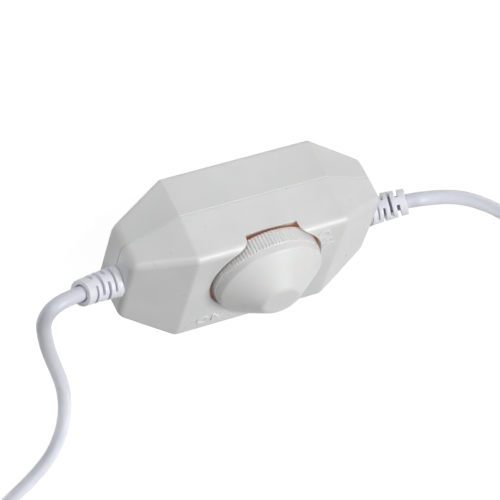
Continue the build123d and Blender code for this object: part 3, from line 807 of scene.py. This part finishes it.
# %% [markdown]
# Soft PVC. The leads, their strain reliefs and the plug are a cooler, bluer white than the
# housing. An extruded sheath has faint ripples along its length, and the moulded reliefs are a
# little waxy. The same recipe serves, with a bluer pigment and a coarser bump. The slots look
# almost black in the photograph, so the sheath carries painted shade where it lies inside a relief.

# %% Soft PVC finishes
# The sheath carries painted shade where it lies inside the reliefs.
sheath_pvc = moulded_plastic(
    "lead_sheath", (0.745, 0.770, 0.845), 0.36, 0.0030, 0.00012, glow=0.10, contrast=0.015,
    dirt_and_shade=painted_relief_shade, dirt_and_shade_colour=slot_shade,
)
relief_pvc = moulded_plastic(
    "strain_relief_pvc", (0.860, 0.875, 0.940), 0.36, 0.0012, 0.00003, glow=0.05, contrast=0.015,
)
plug_pvc = moulded_plastic(
    "plug_pvc", (0.770, 0.785, 0.830), 0.36, 0.0009, 0.00003, glow=0.10, contrast=0.015,
)
print("PVC:", sheath_pvc.name, relief_pvc.name, plug_pvc.name)

# %% [markdown]
# Metal and the hidden pieces. The plug's pins are nickel-plated brass, drawn lengthwise, and the
# screws, washer and nut are zinc plated, with the cloudy spangle that plating leaves. The pieces
# inside are seldom seen, but a reader who opens the covers should find them finished too.

# %% Metal finishes


def plated_metal(name, colour, gloss, scratch_stretch=(1.0, 1.0, 1.0), cloud=0.0025):
    """A plated metal with clouded colour and fine marks drawn out one way."""
    material, nodes, links, shader = start_material(name)
    shader.inputs["Metallic"].default_value = 1.0
    clouds = spread(nodes, links, noise(nodes, links, cloud, 3.0), 0.0, 1.0)
    plating = tint(nodes, links, clouds, shaded(colour, 0.92), shaded(colour, 1.05))
    links.new(plating, shader.inputs["Base Color"])
    marks = noise(nodes, links, 0.0006, 4.0, scratch_stretch)
    links.new(spread(nodes, links, marks, gloss - 0.08, gloss + 0.12), shader.inputs["Roughness"])
    bump = nodes.new("ShaderNodeBump")
    bump.inputs["Strength"].default_value = 0.3
    bump.inputs["Distance"].default_value = 0.00001
    links.new(marks, bump.inputs["Height"])
    links.new(bump.outputs["Normal"], shader.inputs["Normal"])
    return material


pin_metal = plated_metal("nickel_plated_brass", (0.78, 0.76, 0.71), 0.22, (1.0, 0.08, 1.0))
screw_metal = plated_metal("zinc_plated_steel", (0.66, 0.67, 0.68), 0.32)
cast_metal = plated_metal("zinc_casting", (0.58, 0.59, 0.60), 0.45)
can_metal = plated_metal("stamped_steel", (0.60, 0.61, 0.62), 0.30, (1.0, 1.0, 0.15))
sleeve_metal = plated_metal("tinned_copper", (0.72, 0.70, 0.66), 0.30, (1.0, 0.1, 1.0))
metals = (pin_metal, screw_metal, cast_metal, can_metal, sleeve_metal)
print("metals:", [metal.name for metal in metals])

# %% Finishes of the electrical pieces
black_moulding = moulded_plastic(
    "black_moulding", (0.030, 0.030, 0.033), 0.40, 0.0004, 0.00003, contrast=0.10,
)
board_laminate = moulded_plastic(
    "board_laminate", (0.45, 0.29, 0.13), 0.50, 0.0008, 0.00003, stretch=(1, 0.2, 1), contrast=0.10,
)
track_laminate = moulded_plastic(
    "track_laminate", (0.16, 0.09, 0.05), 0.50, 0.0005, 0.00002, contrast=0.08,
)
shaft_nylon = moulded_plastic("shaft_nylon", (0.78, 0.77, 0.73), 0.35, 0.0008, 0.00002, glow=0.2)
red_coat = moulded_plastic(
    "capacitor_red", (0.42, 0.035, 0.025), 0.22, 0.0016, 0.00008, contrast=0.08,
)
yellow_case = moulded_plastic(
    "capacitor_yellow", (0.66, 0.43, 0.06), 0.28, 0.0010, 0.00002, contrast=0.05,
)
resistor_coat = moulded_plastic(
    "resistor_coat", (0.60, 0.47, 0.30), 0.30, 0.0006, 0.00002, contrast=0.06,
)
glass_body = moulded_plastic(
    "component_glass", (0.62, 0.30, 0.16), 0.10, 0.0010, 0.00001, contrast=0.08,
)
print("inner finishes:", black_moulding.name, board_laminate.name, red_coat.name, yellow_case.name)

# %% [markdown]
# The two conductors of each lead are told apart by colour, brown for the live one and blue for the
# neutral one. Each pair is one node, so the colour comes from the side on which a point lies: a
# step on one object coordinate gives each conductor its own pigment without cutting the mesh.

# %% Conductor insulation


def paired_insulation(name, axis, boundary, below, above):
    """Insulation that changes colour where one coordinate passes a boundary."""
    material, nodes, links, shader = start_material(name)
    coordinates = nodes.new("ShaderNodeTexCoord")
    parts = nodes.new("ShaderNodeSeparateXYZ")
    step = nodes.new("ShaderNodeMath")
    step.operation = "GREATER_THAN"
    step.inputs[1].default_value = boundary
    links.new(coordinates.outputs["Object"], parts.inputs[0])
    links.new(parts.outputs[axis], step.inputs[0])
    links.new(tint(nodes, links, step.outputs[0], below, above), shader.inputs["Base Color"])
    uneven = spread(nodes, links, noise(nodes, links, 0.002), 0.30, 0.42)
    links.new(uneven, shader.inputs["Roughness"])
    bump = nodes.new("ShaderNodeBump")
    bump.inputs["Distance"].default_value = 0.00003
    links.new(noise(nodes, links, 0.0018), bump.inputs["Height"])
    links.new(bump.outputs["Normal"], shader.inputs["Normal"])
    return material


brown = (0.105, 0.038, 0.018)
blue = (0.025, 0.075, 0.36)
lamp_pair = paired_insulation("lamp_pair_insulation", "X", 0.2035, below=brown, above=blue)
inner_pair = paired_insulation("inner_pair_insulation", "Y", 0.0042, below=blue, above=brown)
print("insulation:", lamp_pair.name, inner_pair.name)

# %% Dress the CAD nodes
finish_of = {
    "front_cover": front_plastic,
    "rear_cover": rear_plastic,
    "knob": knob_plastic,
    "plug_body": plug_pvc,
    "plug_pins": pin_metal,
    "cover_screws": screw_metal,
    "pot_washer": screw_metal,
    "pot_nut": screw_metal,
    "pot_bushing": cast_metal,
    "pot_can": can_metal,
    "pot_shaft": shaft_nylon,
    "pot_track": track_laminate,
    "switch_block": black_moulding,
    "circuit_board": board_laminate,
    "triac": black_moulding,
    "main_capacitor": yellow_case,
    "timing_capacitor": red_coat,
    "diac": glass_body,
    "resistors": resistor_coat,
    "fuse": glass_body,
    "wires_left": inner_pair,
    "wires_right": inner_pair,
    "lamp_conductors": lamp_pair,
    "lamp_end_sleeves": sleeve_metal,
}


def dress(piece, material):
    """Every slot of a piece gets one material."""
    if not piece.material_slots:
        piece.data.materials.append(material)
    for slot in piece.material_slots:
        slot.material = material


for node, material in finish_of.items():
    dress(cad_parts[node], material)
for piece in (plug_lead, lamp_lead, plug_tie, lamp_tie):
    dress(piece, sheath_pvc)
for piece in (plug_relief, lamp_relief):
    dress(piece, relief_pvc)
replaced_count = len(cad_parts) - len(finish_of)
print("dressed", len(finish_of), "nodes; new pieces stand for", replaced_count)

# %% [markdown]
# The raised words. ON and OFF stand a fraction of a millimetre proud of the front, beside the
# pocket where the knob's turn begins and ends. They are moulded with the housing, and their tops
# are smoother than its grain. Their lighter pigment is a painted highlight, for the light their
# tops reflect. Text turned into a mesh gives crisp walls that catch the light, which a bump in the
# finish would only suggest.

# %% Words on the front
front_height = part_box("front_cover")[1][2]
letter_rise = 0.00022
letter_bevel = 0.00005
letter_spacing = 1.3
# The lighter pigment is a painted highlight on the letters' tops.
letter_plastic_painted_highlight = moulded_plastic(
    "letter_plastic_painted_highlight", (0.880, 0.880, 0.880), 0.30, 0.00045, 0.000010, glow=0.12,
)


def raised_word(name, text, centre, size, turn):
    """A word standing proud of the front face."""
    curve = bpy.data.curves.new(name, "FONT")
    curve.body = text
    curve.size = size
    curve.extrude = letter_rise
    curve.space_character = letter_spacing
    curve.bevel_depth = letter_bevel
    curve.align_x = "CENTER"
    curve.align_y = "CENTER"
    lettering = bpy.data.objects.new(name + "_text", curve)
    scene.collection.objects.link(lettering)
    mesh = bpy.data.meshes.new_from_object(lettering)
    bpy.data.objects.remove(lettering)
    mesh.transform(Matrix.Translation((*centre, front_height)) @ Matrix.Rotation(turn, 4, "Z"))
    word = bpy.data.objects.new(name, mesh)
    scene.collection.objects.link(word)
    dress(word, letter_plastic_painted_highlight)
    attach(word, "dimmer")
    return word


on_word = raised_word(
    "word_on", "ON", centre=(-0.0166, -0.0170), size=0.0058, turn=math.radians(0),
)
off_word = raised_word(
    "word_off", "OFF", centre=(0.0211, 0.0158), size=0.0060, turn=math.radians(-66),
)
print("words:", on_word.name, off_word.name)
